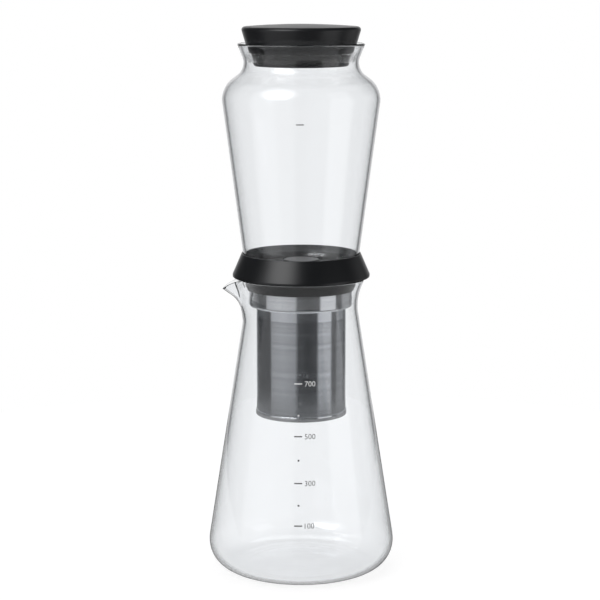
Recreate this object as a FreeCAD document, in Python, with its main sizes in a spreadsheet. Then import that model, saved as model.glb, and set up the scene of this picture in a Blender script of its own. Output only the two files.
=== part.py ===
"""Cold drip coffee tower, in millimetres.

A glass jug stands on the table. A black holder ring stands on its rim and plugs into its mouth.
The steel coffee basket hangs in the ring, a perforated plate lies in the top of the basket, the
glass water bowl with its drip unit sits in the ring, and a lid with a soft ring closes the bowl.
The origin is the centre of the jug's foot on the table, +Z is up, and the spout points along -X.
"""
import FreeCAD, Part
import math
import os
from types import SimpleNamespace

import Sketcher

XY, XZ = "XY_Plane", "XZ_Plane"

SIZES = [
    # The two blown vessels.
    ("glass_wall", 2.2, "wall of the jug and of the bowl"),
    ("glass_gap", 0.3, "room between rounded glass and what stands on it"),
    ("rim_melt", 0.92, "rounding of a fire-polished glass edge"),
    ("cut_margin", 2.0, "how far a cut runs past the piece that it cuts"),
    # The jug.
    ("jug_height", 226.2, "table to the top of the rim"),
    ("jug_side_radius", 74.6, "where the side would meet the table with no rounded corner"),
    ("jug_corner", 22.0, "rounding between the foot and the side"),
    ("jug_hollow_radius", 41.0, "edge of the hollow under the foot"),
    ("jug_hollow_rise", 1.2, "rise of that hollow at its centre"),
    ("jug_neck_radius", 41.7, "where side and flare would meet with no rounded waist"),
    ("jug_neck_drop", 17.8, "rim down to that meeting"),
    ("jug_waist", 34.0, "rounding of the waist"),
    ("jug_rim_radius", 48.6, "outer edge of the rim"),
    # The spout: four rounded noses, each standing out from the straight run of the wall.
    ("spout_root_drop", 34.2, "rim down to the lowest nose"),
    ("spout_root_sink", 0.2, "how far its tip lies inside the wall"),
    ("spout_root_spread", 18.0, "half the angle that it covers"),
    ("spout_root_round", 15.0, "rounding of its tip"),
    ("spout_low_drop", 22.2, "rim down to the second nose"),
    ("spout_low_out", 4.8, "how far it stands out"),
    ("spout_low_spread", 23.0, "half its angle"),
    ("spout_low_round", 8.0, "its rounding"),
    ("spout_mid_drop", 15.2, "rim down to the third nose"),
    ("spout_mid_out", 9.5, "how far it stands out"),
    ("spout_mid_spread", 18.0, "half its angle"),
    ("spout_mid_round", 5.0, "its rounding"),
    ("spout_top_out", 18.8, "nose at the height of the rim, before the lip is cut"),
    ("spout_top_spread", 10.5, "half its angle"),
    ("spout_top_round", 3.4, "its rounding"),
    ("spout_sink", 0.5, "how far the foot of each nose lies inside the wall"),
    ("spout_wall", 2.75, "tip of each nose in to the tip of the channel"),
    ("lip_back", 4.1, "rim in to the line where the lip starts to fall"),
    ("lip_out", 7.5, "rim out to the tip of the lip"),
    ("lip_drop", 9.4, "fall of the lip from the rim to its tip"),
    # The holder ring.
    ("holder_radius", 51.8, "widest edge, over the jug's rim"),
    ("holder_edge", 1.7, "height of that edge"),
    ("holder_edge_round", 0.7, "rounding above that edge"),
    ("holder_height", 17.5, "jug rim to the top of the ring"),
    ("holder_top_radius", 44.95, "outer edge at the top"),
    ("plug_top_radius", 44.6, "plug below the flange, at its top"),
    ("plug_tip_radius", 39.9, "plug at its lower end"),
    ("plug_depth", 9.5, "flange to the lower end of the plug"),
    ("ledge_drop", 2.1, "flange's underside down to the ledge for the basket"),
    # The basket.
    ("collar_radius", 38.6, "outside of the steel collar"),
    ("collar_depth", 20.4, "ledge down to the collar's shoulder"),
    ("collar_round", 2.3, "rounding of the collar's lower edge"),
    ("collar_flange", 1.6, "how far the collar's flange lies on the ledge"),
    ("collar_wall", 0.8, "sheet of the collar"),
    ("flange_thick", 1.1, "flange of the collar"),
    ("flange_round", 0.45, "rounding of its edges"),
    ("basket_gap", 0.3, "room round the collar and round its flange"),
    ("tube_radius", 33.9, "outside of the basket's tube"),
    ("tube_wall", 0.5, "sheet of the tube"),
    ("weld_gap", 0.05, "room at a welded or snapped seam"),
    ("basket_depth", 83.5, "collar's shoulder to the bottom of the basket"),
    ("base_lip", 3.6, "height of the ring round the basket's bottom"),
    ("base_sheet", 0.6, "sheet of that ring"),
    ("base_round", 0.55, "rounding of its lower edge"),
    ("base_land", 3.0, "width of that ring under the mesh disc"),
    ("gauze_thick", 0.4, "mesh discs"),
    # The spreader plate.
    ("spreader_gap", 0.5, "room round the plate in the collar"),
    ("spreader_rise", 6.8, "height of the plate's rim"),
    ("spreader_sheet", 0.8, "sheet of the plate"),
    ("spreader_round", 1.6, "rounding under its rim"),
    ("spreader_pitch", 7.2, "distance from one ring of holes to the next"),
    ("spreader_hole", 1.1, "radius of each hole"),
    # The water bowl.
    ("bowl_foot_rise", 2.7, "holder flange's underside up to the bowl's floor"),
    ("bowl_foot_radius", 41.95, "where floor and side would meet with no rounded corner"),
    ("bowl_corner", 11.5, "rounding between floor and side"),
    ("bowl_shoulder_radius", 60.3, "where side and shoulder would meet"),
    ("bowl_shoulder_rise", 138.95, "floor to that meeting"),
    ("bowl_shoulder_round", 18.0, "rounding of the shoulder"),
    ("bowl_neck_radius", 40.5, "where shoulder and flare would meet"),
    ("bowl_neck_rise", 14.55, "from there up to that meeting"),
    ("bowl_neck_round", 10.8, "rounding of the neck"),
    ("bowl_rim_radius", 47.8, "outer edge of the rim"),
    ("bowl_rim_rise", 18.3, "from there up to the top of the rim"),
    ("bowl_hole", 8.5, "hole in the floor for the drip unit"),
    # The drip unit.
    ("stem_radius", 5.0, "threaded stem"),
    ("stem_drop", 9.2, "bowl's floor down to the end of the thread"),
    ("tip_drop", 14.7, "bowl's floor down to the drip tip"),
    ("tip_radius", 1.8, "outside of the drip tip"),
    ("tip_root", 3.4, "outside of the drip tip where it leaves the stem"),
    ("drip_hole", 0.5, "drip hole"),
    ("feed_bore", 2.0, "bore above the drip hole"),
    ("feed_floor", 4.5, "drip tip up to the floor of that bore"),
    ("head_radius", 12.0, "head of the stem, under the cap"),
    ("head_thick", 1.6, "that head"),
    ("bush_radius", 11.0, "lips of the silicone bush"),
    ("bush_lip", 1.4, "thickness of each lip"),
    ("bush_round", 0.55, "rounding of each lip"),
    ("bush_gap", 0.2, "room between bush and glass"),
    ("washer_radius", 10.5, "flat washer"),
    ("washer_thick", 1.2, "flat washer"),
    ("nut_flat", 9.0, "centre of the nut to each flat"),
    ("nut_thick", 5.0, "nut"),
    ("thread_gap", 0.1, "room round the stem in bush, washer and nut"),
    ("cap_wall", 1.5, "skirt and roof of the cap"),
    ("cap_gap", 0.1, "room between the cap and the head"),
    ("cap_rise", 6.7, "height of the cap"),
    ("cap_round", 1.2, "rounding of the cap's top"),
    ("cap_slot_width", 4.4, "water slots in the cap"),
    ("cap_slot_height", 2.4, "water slots in the cap"),
    # The lid.
    ("lid_rise", 14.0, "bowl's rim to the crown of the lid"),
    ("lid_crown", 2.0, "crown above the lid's edge"),
    ("lid_edge_radius", 45.0, "edge of the lid before it is rounded"),
    ("lid_edge_round", 2.5, "rounding of that edge"),
    ("lid_skirt_radius", 40.7, "lower end of the lid's skirt"),
    ("lid_skirt_drop", 2.5, "bowl's rim down to the end of the skirt"),
    ("lid_wall", 2.2, "wall of the lid and of its insert"),
    ("insert_step", 0.4, "step from the skirt in to the insert"),
    ("insert_tip_radius", 34.85, "insert at its lower end"),
    ("insert_drop", 16.9, "bowl's rim down to the insert's underside"),
    ("insert_round", 1.6, "rounding of its lower edge"),
    ("insert_spigot", 5.5, "how far the insert reaches up into the skirt"),
    ("seal_drop", 14.0, "bowl's rim down to the lower edge of the soft ring"),
    ("seal_height", 7.0, "soft ring"),
    ("seal_bite", 1.0, "how deep the soft ring sits in the insert"),
    ("vent_width", 3.0, "air notches in the soft ring"),
    ("vent_depth", 1.6, "air notches in the soft ring"),
]

SPREADER_RINGS = 4
HOLES_PER_RING = 6
CAP_SLOTS = 8
SEAL_VENTS = 3
# The spout's channel is narrower and sharper than its outside by these shares.
CHANNEL_SPREAD = 0.9
CHANNEL_ROUND = 0.6
# Centre to corner over centre to flat, in a hexagon.
HEXAGON = 2 / math.sqrt(3)


class Size:
    """A length that knows its number and the sheet expression that it is bound with."""

    def __init__(self, number, text):
        self.number = number
        self.text = text

    def __add__(self, other):
        return Size(self.number + number_of(other), f"({self.text} + {text_of(other)})")

    def __sub__(self, other):
        return Size(self.number - number_of(other), f"({self.text} - {text_of(other)})")

    def __mul__(self, other):
        return Size(self.number * number_of(other), f"({self.text} * {text_of(other)})")

    def __truediv__(self, other):
        return Size(self.number / number_of(other), f"({self.text} / {text_of(other)})")

    def __neg__(self):
        return Size(-self.number, f"(0 - {self.text})")


def number_of(value):
    """The number of a size or of a plain number."""
    return value.number if isinstance(value, Size) else float(value)


def text_of(value):
    """The sheet expression of a size or of a plain number."""
    return value.text if isinstance(value, Size) else repr(float(value))


def root_of(value):
    """Square root of a size."""
    return Size(math.sqrt(value.number), f"sqrt({value.text})")


def cosine(angle):
    """Cosine of a size that is an angle in degrees."""
    return Size(math.cos(math.radians(angle.number)), f"cos({angle.text} * 1 deg)")


def sine(angle):
    """Sine of a size that is an angle in degrees."""
    return Size(math.sin(math.radians(angle.number)), f"sin({angle.text} * 1 deg)")


doc = FreeCAD.newDocument("cold_drip_tower")
sheet = doc.addObject("Spreadsheet::Sheet", "Sizes")
d = SimpleNamespace()
for row, (alias, number, meaning) in enumerate(SIZES, start=1):
    sheet.set(f"A{row}", meaning)
    sheet.set(f"B{row}", str(number))
    sheet.setAlias(f"B{row}", alias)
    setattr(d, alias, Size(number, f"Sizes.{alias}"))
doc.recompute()


# Heights that more than one piece uses.
flange = d.jug_height + d.glass_gap
ledge = flange - d.ledge_drop
plug_tip = flange - d.plug_depth
holder_top = d.jug_height + d.holder_height + d.glass_gap
shoulder = ledge - d.collar_depth
shoulder_top = shoulder + d.collar_wall
basket_bottom = shoulder - d.basket_depth
bowl_floor = flange + d.bowl_foot_rise
bowl_floor_top = bowl_floor + d.glass_wall
bowl_widest = bowl_floor + d.bowl_shoulder_rise
bowl_neck = bowl_widest + d.bowl_neck_rise
bowl_rim = bowl_neck + d.bowl_rim_rise
skirt_end = bowl_rim - d.lid_skirt_drop
lid_edge = bowl_rim + d.lid_rise - d.lid_crown


def new_body(name):
    """An empty body whose label is the name of its piece."""
    body = doc.addObject("PartDesign::Body", name)
    body.Label = name
    body.Placement = FreeCAD.Placement()
    return body


def sketch_on(body, name, role, height=None):
    """An empty sketch on one of the body's own planes, raised along the plane's normal if wanted."""
    plane = next(item for item in body.Origin.OriginFeatures if item.Role == role)
    sketch = body.newObject("Sketcher::SketchObject", name)
    sketch.AttachmentSupport = [(plane, "")]
    sketch.MapMode = "FlatFace"
    if height is not None:
        sketch.AttachmentOffset = FreeCAD.Placement(FreeCAD.Vector(0, 0, height.number), FreeCAD.Rotation())
        sketch.setExpression("AttachmentOffset.Base.z", height.text)
    return sketch


def hold(sketch, kind, item, end, value):
    """Tie one coordinate of a point to a size, or to the axis where it is nought."""
    across = kind == "DistanceX"
    if number_of(value) == 0:
        sketch.addConstraint(Sketcher.Constraint("PointOnObject", item, end, -2 if across else -1))
        return
    index = sketch.addConstraint(Sketcher.Constraint(kind, -1, 1, item, end, number_of(value)))
    sketch.setExpression(f"Constraints[{index}]", text_of(value))


def turn_at(before, corner, after, radius):
    """Where a rounding leaves the two runs that meet in a corner, and its centre."""
    back = (before - corner).normalize()
    ahead = (after - corner).normalize()
    half = back.getAngle(ahead) / 2
    middle = (back + ahead).normalize()
    run = radius / math.tan(half)
    return corner + back * run, corner + middle * (radius / math.sin(half)), corner + ahead * run


def draw(sketch, corners):
    """Close an outline through its corners.

    A corner is (across, up), then its rounding if it has one, then "dome" if the run that leaves it
    is an arc centred on the axis.
    """
    corners = [tuple(corner) + (None,) * (4 - len(corner)) for corner in corners]
    points = [FreeCAD.Vector(number_of(x), number_of(y), 0) for x, y, _, _ in corners]
    count = len(corners)
    leaves, arrives, turns = [], [], []
    for index, (_, _, rounding, _) in enumerate(corners):
        if rounding is None:
            arrives.append(points[index])
            leaves.append(points[index])
            turns.append(None)
            continue
        start, centre, end = turn_at(
            points[index - 1], points[index], points[(index + 1) % count], number_of(rounding)
        )
        arrives.append(start)
        leaves.append(end)
        turns.append(centre)
    runs = []
    for index, (_, _, _, shape) in enumerate(corners):
        start, end = leaves[index], arrives[(index + 1) % count]
        if shape != "dome":
            runs.append((sketch.addGeometry(Part.LineSegment(start, end), False), 1, 2))
            continue
        drop = (start.x ** 2 - end.x ** 2 + start.y ** 2 - end.y ** 2) / (2 * (start.y - end.y))
        centre = FreeCAD.Vector(0, drop, 0)
        circle = Part.Circle(centre, FreeCAD.Vector(0, 0, 1), (start - centre).Length)
        low, high = circle.parameter(start), circle.parameter(end)
        forward = (high - low) % (2 * math.pi) < math.pi
        arc = Part.ArcOfCircle(circle, low, high) if forward else Part.ArcOfCircle(circle, high, low)
        item = sketch.addGeometry(arc, False)
        sketch.addConstraint(Sketcher.Constraint("PointOnObject", item, 3, -2))
        runs.append((item, 1, 2) if forward else (item, 2, 1))
    for index, (across, up, rounding, _) in enumerate(corners):
        last, last_start, last_end = runs[index - 1]
        this, this_start, _ = runs[index]
        if rounding is None:
            sketch.addConstraint(Sketcher.Constraint("Coincident", last, last_end, this, this_start))
            hold(sketch, "DistanceX", this, this_start, across)
            hold(sketch, "DistanceY", this, this_start, up)
            continue
        circle = Part.Circle(turns[index], FreeCAD.Vector(0, 0, 1), number_of(rounding))
        low, high = circle.parameter(arrives[index]), circle.parameter(leaves[index])
        forward = (high - low) % (2 * math.pi) < math.pi
        arc = Part.ArcOfCircle(circle, low, high) if forward else Part.ArcOfCircle(circle, high, low)
        item = sketch.addGeometry(arc, False)
        near, far = (1, 2) if forward else (2, 1)
        sketch.addConstraint(Sketcher.Constraint("Tangent", last, last_end, item, near))
        sketch.addConstraint(Sketcher.Constraint("Tangent", item, far, this, this_start))
        radius = sketch.addConstraint(Sketcher.Constraint("Radius", item, number_of(rounding)))
        sketch.setExpression(f"Constraints[{radius}]", text_of(rounding))
        corner = sketch.addGeometry(Part.Point(points[index]), True)
        hold(sketch, "DistanceX", corner, 1, across)
        hold(sketch, "DistanceY", corner, 1, up)
        sketch.addConstraint(Sketcher.Constraint("PointOnObject", corner, 1, last))
        sketch.addConstraint(Sketcher.Constraint("PointOnObject", corner, 1, this))


def spin(body, name, corners, kind="Revolution"):
    """Turn an outline of radii and heights once round the axis, as a solid or as a groove."""
    sketch = sketch_on(body, name + "_outline", XZ)
    draw(sketch, corners)
    feature = body.newObject("PartDesign::" + kind, name)
    feature.Profile = sketch
    feature.ReferenceAxis = (sketch, ["V_Axis"])
    feature.Angle = 360
    doc.recompute()
    return feature


def rings_at(shape, height):
    """Names of the full circles round the axis at this height."""
    names = []
    for number, edge in enumerate(shape.Edges, start=1):
        if edge.Degenerated or not isinstance(edge.Curve, Part.Circle):
            continue
        if abs(edge.Curve.Center.z - height.number) < 0.001:
            names.append(f"Edge{number}")
    return names


def fillet(body, name, edges, radius):
    """Round the named edges of the body's last feature."""
    last = body.Tip
    feature = body.newObject("PartDesign::Fillet", name)
    feature.Base = (last, edges)
    feature.Radius = radius.number
    feature.setExpression("Radius", radius.text)
    doc.recompute()
    return feature


def polish(body, name, height):
    """Fire-polish a glass rim: round the edges of its flat top."""
    return fillet(body, name, rings_at(body.Tip.Shape, height), d.rim_melt)


def loft(body, name, sections, kind):
    """Run a smooth skin through sketches that lie one above another."""
    feature = body.newObject("PartDesign::" + kind, name)
    feature.Profile = sections[0]
    feature.Sections = sections[1:]
    doc.recompute()
    return feature


def nose(body, name, height, root, reach, spread, rounding):
    """One level cut through the spout: two flanks that meet in a rounded tip."""
    across = root * sine(spread)
    back = root * cosine(spread)
    sketch = sketch_on(body, name, XY, height)
    draw(sketch, [
        (-back, -across),
        (-reach, 0, rounding),
        (-back, across),
    ])
    return sketch


def run_between(low, high, inward):
    """A straight run of a wall, moved in by a thickness: its slope, and its radius at height nought."""
    slope = (high[0] - low[0]) / (high[1] - low[1])
    return slope, low[0] - slope * low[1] - root_of(slope * slope + 1) * inward


def radius_on(run, height):
    """Radius of a run at a height."""
    return run[0] * height + run[1]


def meet(lower, upper):
    """Radius and height where two runs meet."""
    height = (lower[1] - upper[1]) / (upper[0] - lower[0])
    return radius_on(lower, height), height


def bowl_runs(inward):
    """Side, shoulder and flare of the bowl, moved in by a thickness (or out, if it is negative)."""
    foot = (d.bowl_foot_radius, bowl_floor)
    widest = (d.bowl_shoulder_radius, bowl_widest)
    neck = (d.bowl_neck_radius, bowl_neck)
    rim = (d.bowl_rim_radius, bowl_rim)
    return [run_between(low, high, inward) for low, high in ((foot, widest), (widest, neck), (neck, rim))]


def skirt_run():
    """Inner side of the lid's skirt."""
    return run_between((d.lid_skirt_radius, skirt_end), (d.lid_edge_radius, lid_edge), d.lid_wall)


def insert_run():
    """Outer side of the lid's insert."""
    low = (d.insert_tip_radius, bowl_rim - d.insert_drop)
    return run_between(low, (d.lid_skirt_radius - d.insert_step, skirt_end), 0)


def must_cut(cut, body, before):
    """Stop the build where a cut takes nothing away."""
    doc.recompute()
    if before - body.Shape.Volume <= 0:
        raise RuntimeError(f"{cut.Name} cuts nothing")
    return cut


def slice_off(body, name, sketch, midplane=False):
    """Cut a sketch through the whole piece."""
    before = body.Shape.Volume
    cut = body.newObject("PartDesign::Pocket", name)
    cut.Profile = sketch
    cut.Midplane = midplane
    cut.Type = 1
    return must_cut(cut, body, before)


def slice_up(body, name, sketch, depth):
    """Cut a level sketch upwards to a depth."""
    before = body.Shape.Volume
    cut = body.newObject("PartDesign::Pocket", name)
    cut.Profile = sketch
    cut.Reversed = True
    cut.Type = 0
    cut.Length = depth.number
    cut.setExpression("Length", depth.text)
    return must_cut(cut, body, before)


def circle_at(sketch, across, up, radius):
    """A circle in a sketch, with its centre and its radius tied to sizes."""
    item = sketch.addGeometry(
        Part.Circle(FreeCAD.Vector(number_of(across), number_of(up), 0), FreeCAD.Vector(0, 0, 1),
                    radius.number), False)
    hold(sketch, "DistanceX", item, 3, across)
    hold(sketch, "DistanceY", item, 3, up)
    index = sketch.addConstraint(Sketcher.Constraint("Radius", item, radius.number))
    sketch.setExpression(f"Constraints[{index}]", radius.text)


def repeat_round(body, name, feature, count):
    """Repeat a cut round the vertical axis."""
    pattern = body.newObject("PartDesign::PolarPattern", name)
    pattern.Originals = [feature]
    axis = next(item for item in body.Origin.OriginFeatures if item.Role == "Z_Axis")
    pattern.Axis = (axis, [""])
    pattern.Angle = 360
    pattern.Occurrences = count
    body.Tip = pattern
    doc.recompute()
    return pattern


def raise_up(body, name, sketch, height):
    """Pad a level sketch upwards."""
    pad = body.newObject("PartDesign::Pad", name)
    pad.Profile = sketch
    pad.Length = height.number
    pad.setExpression("Length", height.text)
    doc.recompute()
    return pad


def build_jug():
    """Blown jug: a wide foot, a tapering side, a waist, a flared rim and a pulled spout."""
    body = new_body("glass_jug")
    top = d.jug_height
    neck = top - d.jug_neck_drop
    corners = (d.jug_side_radius, Size(0, "0")), (d.jug_neck_radius, neck), (d.jug_rim_radius, top)
    side, flare = (run_between(low, high, 0) for low, high in zip(corners, corners[1:]))
    inner_side, inner_flare = (run_between(low, high, d.glass_wall) for low, high in zip(corners, corners[1:]))
    levels = [
        (side, top - d.spout_root_drop, -d.spout_root_sink, d.spout_root_spread, d.spout_root_round),
        (side, top - d.spout_low_drop, d.spout_low_out, d.spout_low_spread, d.spout_low_round),
        (flare, top - d.spout_mid_drop, d.spout_mid_out, d.spout_mid_spread, d.spout_mid_round),
        (flare, top, d.spout_top_out, d.spout_top_spread, d.spout_top_round),
    ]
    spin(body, "jug_form", [
        (0, d.jug_hollow_rise, None, "dome"),
        (d.jug_hollow_radius, 0),
        (d.jug_side_radius, 0, d.jug_corner),
        (d.jug_neck_radius, neck, d.jug_waist),
        (d.jug_rim_radius, top),
        (0, top),
    ])
    outside = []
    for number, (run, height, out, spread, rounding) in enumerate(levels, start=1):
        wall = radius_on(run, height)
        outside.append(nose(body, f"spout_outside_{number}", height, wall - d.spout_sink, wall + out,
                            spread, rounding))
    loft(body, "spout_form", outside, "AdditiveLoft")
    floor = d.jug_hollow_rise + d.glass_wall
    above = top + d.cut_margin
    spin(body, "jug_inside", [
        (0, floor),
        (radius_on(inner_side, floor), floor, d.jug_corner - d.glass_wall),
        (*meet(inner_side, inner_flare), d.jug_waist + d.glass_wall),
        (radius_on(inner_flare, above), above),
        (0, above),
    ], "Groove")
    channel = []
    for number, (run, height, out, spread, rounding) in enumerate(levels, start=1):
        wall = radius_on(run, height)
        channel.append(nose(body, f"spout_channel_{number}", height, wall - d.spout_sink - d.glass_wall,
                            wall + out - d.spout_wall, spread * CHANNEL_SPREAD, rounding * CHANNEL_ROUND))
    loft(body, "spout_inside", channel, "SubtractiveLoft")
    lip = sketch_on(body, "lip_line", XZ)
    start = d.jug_rim_radius - d.lip_back
    end = d.jug_rim_radius + d.spout_top_out
    fall = d.lip_drop / (d.lip_back + d.lip_out)
    draw(lip, [
        (-start, top),
        (-end, top - fall * (end - start)),
        (-end, above),
        (-start, above),
    ])
    slice_off(body, "lip_cut", lip, midplane=True)
    return body


def build_bowl():
    """Blown water bowl: rounded foot with a hole for the drip unit, shoulder, neck and flared rim."""
    body = new_body("glass_bowl")
    side, shoulder_run, flare = bowl_runs(d.glass_wall)
    spin(body, "bowl_form", [
        (0, bowl_floor),
        (d.bowl_foot_radius, bowl_floor, d.bowl_corner),
        (d.bowl_shoulder_radius, bowl_widest, d.bowl_shoulder_round),
        (d.bowl_neck_radius, bowl_neck, d.bowl_neck_round),
        (d.bowl_rim_radius, bowl_rim),
        (0, bowl_rim),
    ])
    above = bowl_rim + d.cut_margin
    spin(body, "bowl_inside", [
        (0, bowl_floor_top),
        (radius_on(side, bowl_floor_top), bowl_floor_top, d.bowl_corner - d.glass_wall),
        (*meet(side, shoulder_run), d.bowl_shoulder_round - d.glass_wall),
        (*meet(shoulder_run, flare), d.bowl_neck_round + d.glass_wall),
        (radius_on(flare, above), above),
        (0, above),
    ], "Groove")
    polish(body, "bowl_rim_polish", bowl_rim)
    hole = sketch_on(body, "floor_hole", XY, bowl_floor - d.cut_margin)
    circle_at(hole, 0, 0, d.bowl_hole)
    slice_up(body, "floor_cut", hole, d.glass_wall + d.cut_margin * 2)
    return body


def build_holder():
    """Black ring: a flange on the jug's rim, a plug in its mouth, a seat for the bowl above."""
    body = new_body("holder_ring")
    spin(body, "ring_form", [
        (0, plug_tip),
        (d.plug_tip_radius, plug_tip),
        (d.plug_top_radius, flange),
        (d.holder_radius, flange),
        (d.holder_radius, flange + d.holder_edge, d.holder_edge_round),
        (d.holder_top_radius, holder_top),
        (0, holder_top),
    ])
    side, _, _ = bowl_runs(-d.glass_gap)
    seat_floor = bowl_floor - d.glass_gap
    above = holder_top + d.cut_margin
    spin(body, "bowl_seat", [
        (0, seat_floor),
        (radius_on(side, seat_floor), seat_floor, d.bowl_corner + d.glass_gap),
        (radius_on(side, above), above),
        (0, above),
    ], "Groove")
    throat = sketch_on(body, "throat", XY, ledge)
    circle_at(throat, 0, 0, d.collar_radius + d.collar_flange + d.basket_gap)
    slice_up(body, "throat_cut", throat, d.holder_height)
    bore = sketch_on(body, "bore", XY, plug_tip - d.cut_margin)
    circle_at(bore, 0, 0, d.collar_radius + d.basket_gap)
    slice_up(body, "bore_cut", bore, d.holder_height)
    return body


def build_collar():
    """Steel cup at the top of the basket: flange, straight side, rounded shoulder."""
    body = new_body("strainer_collar")
    inner = d.collar_radius - d.collar_wall
    rim = d.collar_radius + d.collar_flange
    mouth = d.tube_radius + d.weld_gap
    top = ledge + d.flange_thick
    spin(body, "collar_form", [
        (mouth, shoulder),
        (d.collar_radius, shoulder, d.collar_round),
        (d.collar_radius, ledge),
        (rim, ledge),
        (rim, top, d.flange_round),
        (inner, top, d.flange_round),
        (inner, shoulder_top, d.collar_round - d.collar_wall),
        (mouth, shoulder_top),
    ])
    return body


def build_tube():
    """Tube of fine etched mesh, drawn as a thin wall."""
    body = new_body("strainer_mesh")
    bottom = basket_bottom + d.base_sheet + d.gauze_thick
    inner = d.tube_radius - d.tube_wall
    spin(body, "tube_form", [
        (inner, bottom),
        (d.tube_radius, bottom),
        (d.tube_radius, shoulder_top),
        (inner, shoulder_top),
    ])
    return body


def build_base_ring():
    """Bright ring that holds the mesh disc under the tube."""
    body = new_body("strainer_base_ring")
    outer = d.tube_radius + d.weld_gap + d.base_sheet
    land = d.tube_radius - d.base_land
    top = basket_bottom + d.base_lip
    spin(body, "base_form", [
        (land, basket_bottom),
        (outer, basket_bottom, d.base_round),
        (outer, top),
        (outer - d.base_sheet, top),
        (outer - d.base_sheet, basket_bottom + d.base_sheet),
        (land, basket_bottom + d.base_sheet),
    ])
    return body


def build_disc(name, radius, bottom, thick):
    """A flat round disc of gauze."""
    body = new_body(name)
    sketch = sketch_on(body, name + "_outline", XY, bottom)
    circle_at(sketch, 0, 0, radius)
    raise_up(body, name + "_pad", sketch, thick)
    return body


def build_spreader():
    """Shallow perforated pan over the coffee."""
    body = new_body("spreader")
    outer = d.collar_radius - d.collar_wall - d.spreader_gap
    inner = outer - d.spreader_sheet
    floor = shoulder_top + d.spreader_sheet
    top = shoulder_top + d.spreader_rise
    spin(body, "pan_form", [
        (0, shoulder_top),
        (outer, shoulder_top, d.spreader_round),
        (outer, top),
        (inner, top),
        (inner, floor, d.spreader_round - d.spreader_sheet),
        (0, floor),
    ])
    for ring in range(1, SPREADER_RINGS + 1):
        hole = sketch_on(body, f"drip_holes_{ring}", XY, shoulder_top - d.cut_margin)
        circle_at(hole, d.spreader_pitch * ring, 0, d.spreader_hole)
        cut = slice_up(body, f"drip_cut_{ring}", hole, d.spreader_sheet + d.cut_margin * 2)
        repeat_round(body, f"drip_ring_{ring}", cut, HOLES_PER_RING * ring)
    return body


def build_bush():
    """Silicone bush: a sleeve through the glass with a lip above and a lip below."""
    body = new_body("drip_bush")
    bore = d.stem_radius + d.thread_gap
    sleeve = d.bowl_hole - d.bush_gap
    low, high = bowl_floor - d.bush_lip, bowl_floor_top + d.bush_lip
    spin(body, "bush_form", [
        (bore, low),
        (d.bush_radius, low, d.bush_round),
        (d.bush_radius, bowl_floor),
        (sleeve, bowl_floor),
        (sleeve, bowl_floor_top),
        (d.bush_radius, bowl_floor_top),
        (d.bush_radius, high, d.bush_round),
        (bore, high),
    ])
    return body


def build_nozzle():
    """Stem through the bush, with a flat head above and the drip tip below."""
    body = new_body("drip_nozzle")
    head = bowl_floor_top + d.bush_lip
    tip = bowl_floor - d.tip_drop
    thread = bowl_floor - d.stem_drop
    bore_floor = tip + d.feed_floor
    spin(body, "nozzle_form", [
        (d.drip_hole, tip),
        (d.tip_radius, tip),
        (d.tip_root, thread),
        (d.stem_radius, thread),
        (d.stem_radius, head),
        (d.head_radius, head),
        (d.head_radius, head + d.head_thick),
        (d.feed_bore, head + d.head_thick),
        (d.feed_bore, bore_floor),
        (d.drip_hole, bore_floor - d.feed_bore),
    ])
    return body


def build_washer():
    """Flat washer between the nut and the bush."""
    body = new_body("drip_washer")
    top = bowl_floor - d.bush_lip
    bore = d.stem_radius + d.thread_gap
    spin(body, "washer_form", [
        (bore, top - d.washer_thick),
        (d.washer_radius, top - d.washer_thick),
        (d.washer_radius, top),
        (bore, top),
    ])
    return body


def build_nut():
    """Six-sided nut that clamps the drip unit to the glass."""
    body = new_body("drip_nut")
    top = bowl_floor - d.bush_lip - d.washer_thick
    sketch = sketch_on(body, "nut_outline", XY, top - d.nut_thick)
    corner = d.nut_flat * HEXAGON
    half = corner / 2
    draw(sketch, [
        (corner, 0),
        (half, d.nut_flat),
        (-half, d.nut_flat),
        (-corner, 0),
        (-half, -d.nut_flat),
        (half, -d.nut_flat),
    ])
    circle_at(sketch, 0, 0, d.stem_radius + d.thread_gap)
    raise_up(body, "nut_pad", sketch, d.nut_thick)
    return body


def build_cap():
    """Cap over the drip unit, with water slots in its skirt."""
    body = new_body("drip_cap")
    low = bowl_floor_top + d.bush_lip
    high = low + d.cap_rise
    inner = d.head_radius + d.cap_gap
    outer = inner + d.cap_wall
    spin(body, "cap_form", [
        (inner, low),
        (outer, low),
        (outer, high, d.cap_round),
        (0, high),
        (0, high - d.cap_wall),
        (inner, high - d.cap_wall),
    ])
    slot_low = low + d.head_thick + d.gauze_thick
    half = d.cap_slot_width / 2
    slot = sketch_on(body, "slot_outline", XZ)
    draw(slot, [
        (-half, slot_low),
        (half, slot_low),
        (half, slot_low + d.cap_slot_height),
        (-half, slot_low + d.cap_slot_height),
    ])
    cut = slice_off(body, "slot_cut", slot)
    repeat_round(body, "slots", cut, CAP_SLOTS)
    return body


def build_lid_cap():
    """Domed shell of the lid, open below."""
    body = new_body("lid_cap")
    crown = lid_edge + d.lid_crown
    roof = lid_edge - d.lid_wall
    skirt = skirt_run()
    spin(body, "lid_form", [
        (0, crown, None, "dome"),
        (d.lid_edge_radius, lid_edge),
        (d.lid_skirt_radius, skirt_end),
        (radius_on(skirt, skirt_end), skirt_end),
        (radius_on(skirt, roof), roof),
        (0, crown - d.lid_wall),
    ])
    fillet(body, "lid_edge_fillet", rings_at(body.Tip.Shape, lid_edge), d.lid_edge_round)
    return body


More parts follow.
